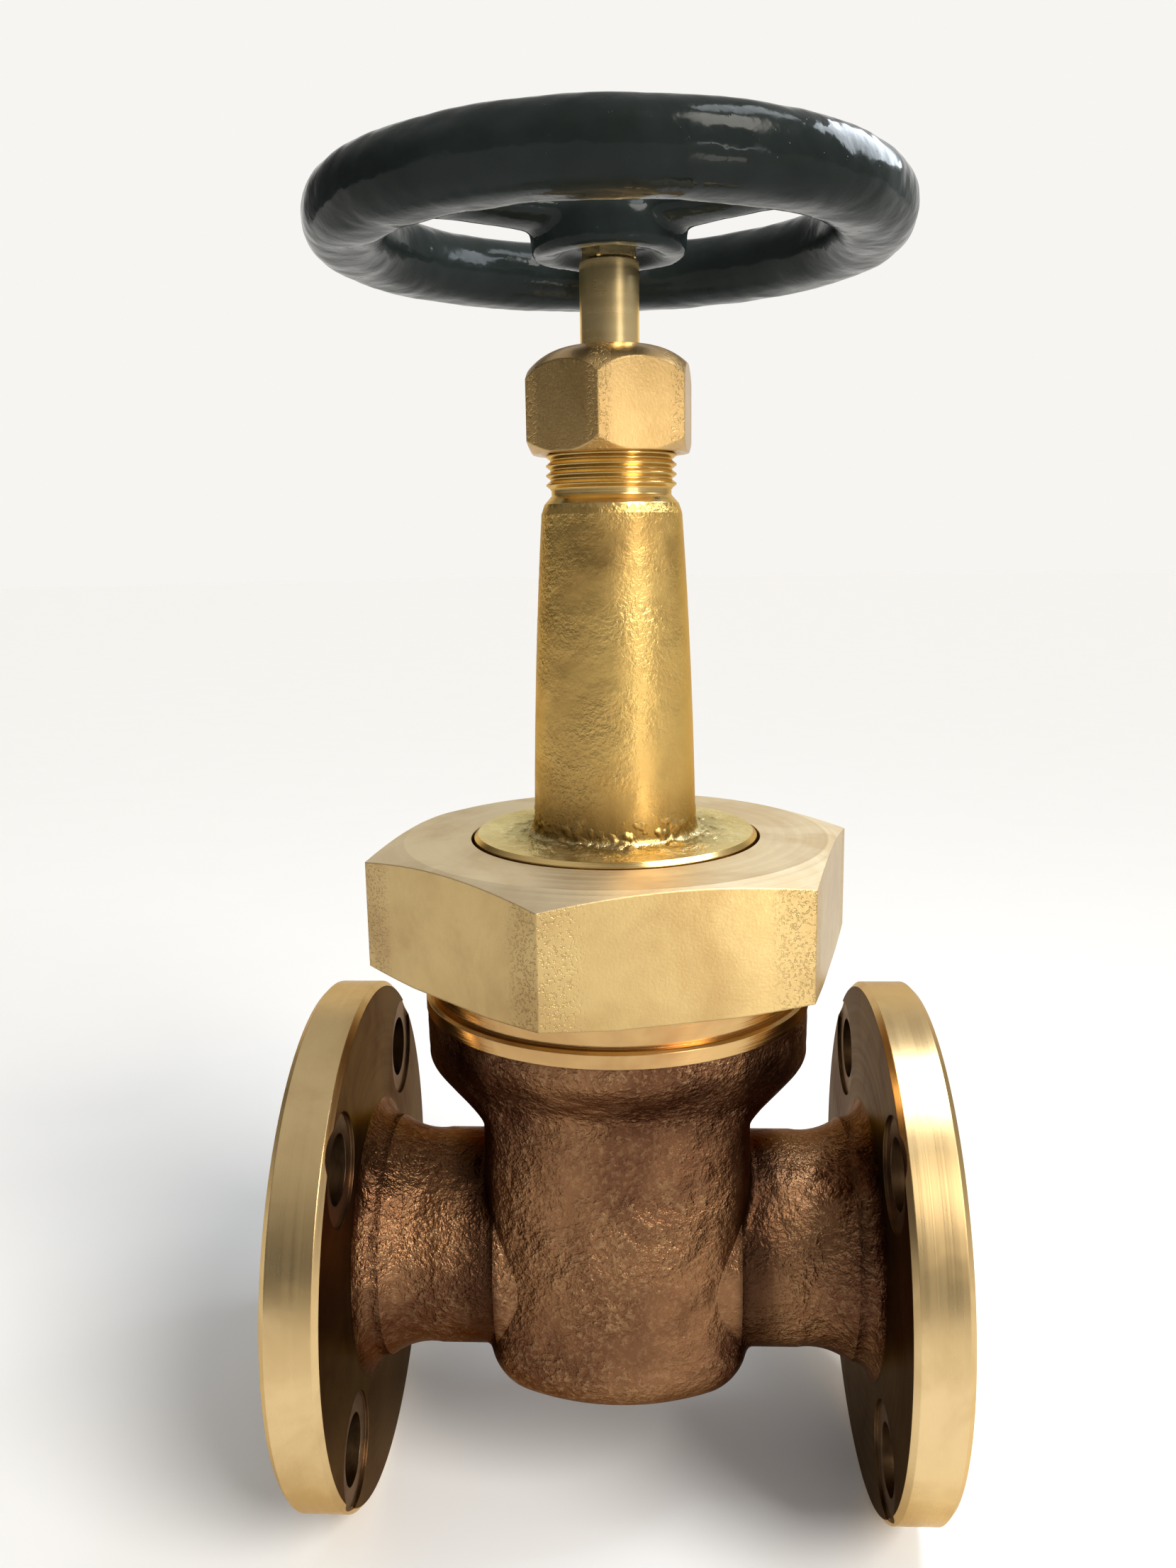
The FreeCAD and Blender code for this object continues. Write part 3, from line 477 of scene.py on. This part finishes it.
# How far its skin, its top edge and its hidden underside lie within the casting.
CRUST_SINK = 0.06 * MM
CRUST_TOP_SINK = 0.3 * MM
CRUST_DEPTH = 0.9 * MM

CRUST_SECTORS = 320
CRUST_UP_RINGS = 12
CRUST_FILLET_RINGS = 5
CRUST_OUT_RINGS = 26


def crust_profile():
    """Down the tube's foot, round its fillet and out over the disc. Each step is its radius, its
    height, which way it faces (out, up) and how thick the crust may grow there."""
    fillet_top = FOOT_DISC_Z + FOOT_FILLET
    for step in range(CRUST_UP_RINGS):
        share = step / CRUST_UP_RINGS
        radius = FOOT_TUBE_R - CRUST_TOP_SINK * (1 - share)
        growth = CRUST_TOP_GROWTH + (CRUST_GROWTH - CRUST_TOP_GROWTH) * share
        yield radius, CRUST_TOP_Z + share * (fillet_top - CRUST_TOP_Z), 1.0, 0.0, growth
    for step in range(CRUST_FILLET_RINGS):
        turn = math.radians(90) * step / CRUST_FILLET_RINGS
        yield (FOOT_TUBE_R + FOOT_FILLET * (1 - math.cos(turn)),
               fillet_top - FOOT_FILLET * math.sin(turn),
               math.cos(turn), math.sin(turn), CRUST_GROWTH)
    for step in range(CRUST_OUT_RINGS):
        share = step / (CRUST_OUT_RINGS - 1)
        radius = FOOT_TUBE_R + FOOT_FILLET
        yield (radius + share * (CRUST_OUT_R - radius), FOOT_DISC_Z,
               0.0, 1.0, CRUST_SKIRT_GROWTH * (1 - share))


def crust_rings():
    """The crust's closed rings about the stem: its lumpy skin, then its hidden underside."""
    angles = [2 * math.pi * sector / CRUST_SECTORS for sector in range(CRUST_SECTORS)]
    ways = [Vector((math.cos(angle), math.sin(angle), 0)) for angle in angles]
    for radius, height, out, up, growth in crust_profile():
        ring = []
        for way in ways:
            base = Vector((STEM_X, 0, height)) + way * radius
            rise = growth * (CRUST_LEVEL + lumps(base, CRUST_LUMPS)) - CRUST_SINK
            ring.append(base + (way * out + Vector((0, 0, up))) * rise)
        yield ring
    inside_r = FOOT_TUBE_R - CRUST_DEPTH
    inside_z = FOOT_DISC_Z - CRUST_DEPTH
    for radius, height in ((CRUST_OUT_R, inside_z), (inside_r, inside_z), (inside_r, CRUST_TOP_Z)):
        yield [Vector((STEM_X, 0, height)) + way * radius for way in ways]


def crust_finish(centre, normal):
    return "cast_brass" if centre.z > CRUST_PALE_TOP_Z else "skimmed_brass"


def foot_crust():
    """The ragged skin that the mould left round the foot of the bonnet's tube."""
    rings = list(crust_rings())
    faces = []
    for ring in range(len(rings)):
        here = ring * CRUST_SECTORS
        below = (ring + 1) % len(rings) * CRUST_SECTORS
        for sector in range(CRUST_SECTORS):
            beside = (sector + 1) % CRUST_SECTORS
            faces.append((here + sector, below + sector, below + beside, here + beside))
    mesh = bpy.data.meshes.new("foot_crust")
    mesh.from_pydata([place for ring in rings for place in ring], [], faces)
    smooth_faces(mesh)
    mesh.update()
    crust = bpy.data.objects.new("foot_crust", mesh)
    bpy.context.scene.collection.objects.link(crust)
    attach(crust, "valve_body")
    dress_faces(crust, ["cast_brass", "skimmed_brass"], crust_finish)


dress_faces(NODES["body"],
            ["cast_bronze", "turned_flange", "flange_back", "spot_face", "turned_band"], body_finish)
dress_faces(NODES["bonnet"], ["cast_brass", "turned_brass", "skimmed_brass"], bonnet_finish)
dress_faces(NODES["union_nut"], ["union_brass", "union_top"], union_finish)
dress(NODES["packing_nut"], "packing_brass")
dress(NODES["stem"], "stem_brass")
dress(NODES["handwheel"], "black_enamel")
for name in ("seat_ring_inlet", "seat_ring_outlet", "wedge"):
    dress(NODES[name], "seat_bronze")
for name in ("packing_washer", "packing_gland"):
    dress(NODES[name], "turned_brass")
for name in ("handwheel_washer", "handwheel_spring_washer", "handwheel_nut"):
    dress(NODES[name], "plated_steel")
for number in range(1, 5):
    dress(NODES["packing_ring_%d" % number], "packing_cord")
dress(NODES["bonnet_gasket"], "gasket_sheet")
handwheel_casting()
foot_crust()


# ---- floor, light and camera -----------------------------------------------------------------
ROOM_LEFT = 0.09
ROOM_RIGHT = 0.40
ROOM_OVERHEAD = 0.60
ROOM_BEHIND = 0.93
ROOM_COLOUR = (1.0, 0.982, 0.95, 1.0)

FLOOR_R = 8.0
FLOOR_SEGMENTS = 128

KEY_STRENGTH = 3.0
KEY_FROM = (0.57, -0.55, 0.62)
KEY_SPREAD = math.radians(28)
KEY_COLOUR = (1.0, 0.955, 0.88)

# Each soft lamp is its name, place, target, width, height, power in watts and colour.
SOFT_LAMPS = (
    ("side", (0.38, -0.36, 0.01), (0.09, -0.03, 0.0), 0.08, 0.10, 0.14, (1.0, 0.94, 0.84)),
    ("high_right", (0.22, 0.02, 0.30), (0.13, -0.02, 0.03), 0.10, 0.10, 0.40, (0.84, 0.92, 1.0)),
    ("strip", (0.48, -0.46, 0.22), (STEM_X, 0, 0.22), 0.20, 0.02, 0.26, (1.0, 0.98, 0.95)),
    ("overhead", (0.30, -0.06, 0.60), (0.12, 0, 0.03), 0.20, 0.12, 0.7, (0.88, 0.94, 1.0)),
)


def make_floor():
    """A wide pale disc, fine-grained like matt card."""
    mesh = bpy.data.meshes.new("floor")
    shape = bmesh.new()
    bmesh.ops.create_circle(shape, cap_ends=True, segments=FLOOR_SEGMENTS, radius=FLOOR_R)
    shape.to_mesh(mesh)
    shape.free()
    floor = bpy.data.objects.new("floor", mesh)
    floor.location = (STEM_X, 0, FLOOR_Z)
    bpy.context.scene.collection.objects.link(floor)
    made = Recipe("floor_card", 0.0)
    tone = made.noise(0.05, 3.0)
    colour = made.mix(tone, (0.85, 0.86, 0.875), (0.87, 0.88, 0.895))
    floor.data.materials.append(made.finish(colour, 0.8))


def make_world():
    """A dim room, lighter to the right and overhead, with a pale wall behind the object. Its
    walls are seen plain and pale from every side."""
    world = bpy.data.worlds.new("room")
    world.use_nodes = True
    bpy.context.scene.world = world
    nodes = world.node_tree.nodes
    links = world.node_tree.links
    place = nodes.new("ShaderNodeTexCoord")
    split = nodes.new("ShaderNodeSeparateXYZ")
    links.new(place.outputs["Generated"], split.inputs[0])

    def ramp(axis, low, high, start, end):
        node = nodes.new("ShaderNodeMapRange")
        node.interpolation_type = "SMOOTHSTEP"
        links.new(split.outputs[axis], node.inputs["Value"])
        for name, value in (("From Min", low), ("From Max", high),
                            ("To Min", start), ("To Max", end)):
            node.inputs[name].default_value = value
        return node.outputs[0]

    def blend(share, first, second):
        node = nodes.new("ShaderNodeMix")
        for socket, value in zip(node.inputs[0:1] + node.inputs[2:4], (share, first, second)):
            if isinstance(value, bpy.types.NodeSocket):
                links.new(value, socket)
            else:
                socket.default_value = value
        return node.outputs[0]

    sides = ramp("X", -0.8, 0.9, ROOM_LEFT, ROOM_RIGHT)
    room = blend(ramp("Z", 0.3, 0.9, 0.0, 1.0), sides, ROOM_OVERHEAD)
    lit = blend(ramp("Y", 0.66, 0.88, 0.0, 1.0), room, ROOM_BEHIND)
    seen = nodes.new("ShaderNodeLightPath").outputs["Is Camera Ray"]
    strength = blend(seen, lit, ROOM_BEHIND)
    links.new(strength, nodes["Background"].inputs["Strength"])
    nodes["Background"].inputs["Color"].default_value = ROOM_COLOUR


def soft_light(name, place, target, width, height, power, colour):
    lamp = bpy.data.lights.new(name, "AREA")
    lamp.shape = "RECTANGLE"
    lamp.size = width
    lamp.size_y = height
    lamp.energy = power
    lamp.color = colour
    holder = bpy.data.objects.new(name, lamp)
    holder.location = place
    holder.visible_camera = False
    holder.rotation_euler = (Vector(target) - Vector(place)).to_track_quat("-Z", "Y").to_euler()
    bpy.context.scene.collection.objects.link(holder)


def make_lights():
    sun = bpy.data.lights.new("key", "SUN")
    sun.energy = KEY_STRENGTH
    sun.angle = KEY_SPREAD
    sun.color = KEY_COLOUR
    holder = bpy.data.objects.new("key", sun)
    holder.rotation_euler = Vector(KEY_FROM).to_track_quat("Z", "Y").to_euler()
    bpy.context.scene.collection.objects.link(holder)
    for lamp in SOFT_LAMPS:
        soft_light(*lamp)


CAMERA_PLACE = Vector((0.0776, -0.28012, 0.16389))
CAMERA_YAW = math.radians(2.78)
CAMERA_PITCH = math.radians(-10.84)
CAMERA_ROLL = math.radians(-0.86)
CAMERA_LENS = 29.15
SENSOR_WIDTH = 36.0
CLIP_START = 0.01


def make_camera():
    data = bpy.data.cameras.new("camera")
    data.lens = CAMERA_LENS
    data.sensor_width = SENSOR_WIDTH
    data.clip_start = CLIP_START
    camera = bpy.data.objects.new("camera", data)
    ahead = Vector((-math.sin(CAMERA_YAW) * math.cos(CAMERA_PITCH),
                    math.cos(CAMERA_YAW) * math.cos(CAMERA_PITCH), math.sin(CAMERA_PITCH)))
    level = ahead.cross(Vector((0, 0, 1))).normalized()
    upright = level.cross(ahead)
    right = math.cos(CAMERA_ROLL) * level + math.sin(CAMERA_ROLL) * upright
    up = math.cos(CAMERA_ROLL) * upright - math.sin(CAMERA_ROLL) * level
    turn = Matrix((right, up, -ahead)).transposed().to_4x4()
    camera.matrix_world = Matrix.Translation(CAMERA_PLACE) @ turn
    bpy.context.scene.collection.objects.link(camera)
    bpy.context.scene.camera = camera


make_floor()
make_world()
make_lights()
make_camera()
bpy.context.scene.view_settings.view_transform = "Standard"
